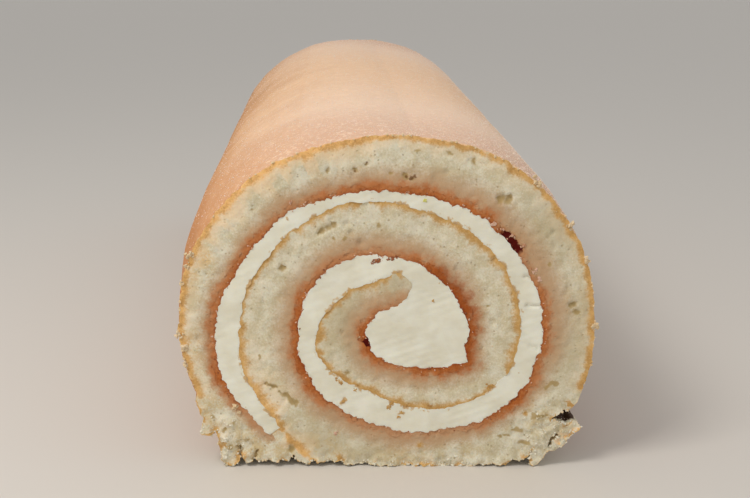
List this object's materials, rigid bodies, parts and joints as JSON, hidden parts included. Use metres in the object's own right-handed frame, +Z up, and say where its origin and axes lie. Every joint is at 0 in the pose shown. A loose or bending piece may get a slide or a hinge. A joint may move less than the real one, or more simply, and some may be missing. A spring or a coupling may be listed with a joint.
{
  "type": "swiss roll cake",
  "caption": "Whole swiss roll: a pale sponge sheet rolled up with jam and buttercream, trimmed at both ends, lying on its flattened underside.",
  "frame": {"origin": "on the surface the roll lies on, under the middle of its length and width", "axes": "+Z up, +Y along the roll away from the end that shows, +X to the right of someone who faces that end"},
  "size_m": [0.0804, 0.223, 0.0648],
  "materials": {
    "sponge": "matte",
    "jam": "satin",
    "buttercream": "satin",
    "sugar": "satin"
  },
  "bodies": {
    "root": {"sponge": "sponge", "jam": "jam", "buttercream": "buttercream"}
  },
  "joints": []
}
